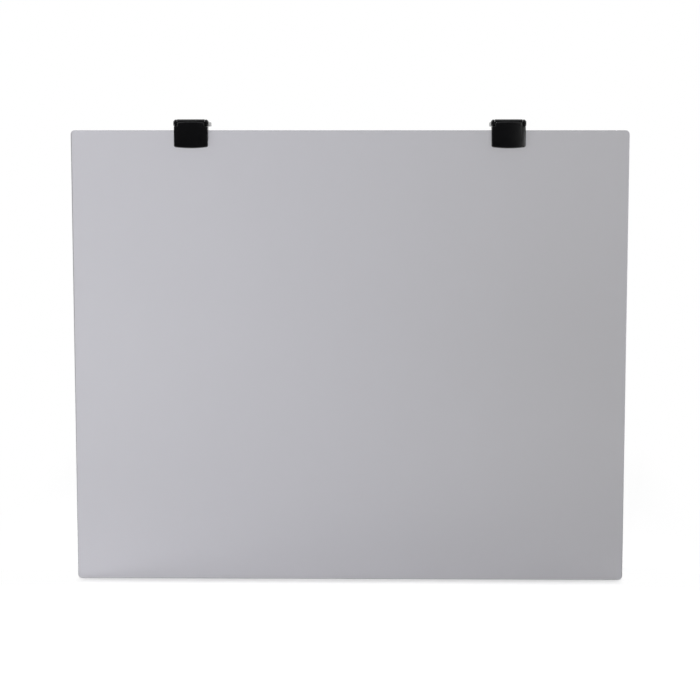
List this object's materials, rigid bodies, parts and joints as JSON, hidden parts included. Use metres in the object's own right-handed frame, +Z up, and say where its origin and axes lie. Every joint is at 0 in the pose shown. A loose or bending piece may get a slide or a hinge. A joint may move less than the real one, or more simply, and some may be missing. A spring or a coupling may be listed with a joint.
{
  "type": "anti-glare monitor filter",
  "caption": "Frameless tinted matte acrylic panel that hangs in front of a monitor by black clips, whose hinged hanger arms lie on the monitor's top edge.",
  "frame": {"origin": "the monitor's top front edge, midway between the clips: the rear jaws bear on the monitor's front at Y = 0 and the grip pads lie on its top at Z = 0", "axes": "+X to the right seen from the front, +Y towards the monitor's back, +Z up; the panel faces -Y"},
  "size_m": [0.41, 0.034, 0.344],
  "materials": {
    "tinted_acrylic": "translucent grey acrylic with a fine matte anti-glare face",
    "black_plastic": "satin-gloss moulded ABS",
    "pin_steel": "drawn steel wire",
    "grip_foam": "closed-cell foam"
  },
  "bodies": {
    "panel": {"filter_panel": "tinted_acrylic", "left_clip_body": "black_plastic", "right_clip_body": "black_plastic", "left_hinge_pin": "pin_steel", "right_hinge_pin": "pin_steel"},
    "left_hanger": {"left_hanger_arm": "black_plastic", "left_grip_pad": "grip_foam"},
    "right_hanger": {"right_hanger_arm": "black_plastic", "right_grip_pad": "grip_foam"}
  },
  "joints": [
    {"name": "left_hanger_hinge", "type": "hinge", "parent": "panel", "child": "left_hanger", "pos_m": [-0.1164, -0.0044, 0.0038], "axis": [1, 0, 0], "range_deg": [-2, 90]},
    {"name": "right_hanger_hinge", "type": "hinge", "parent": "panel", "child": "right_hanger", "pos_m": [0.1164, -0.0044, 0.0038], "axis": [1, 0, 0], "range_deg": [-2, 90]}
  ]
}
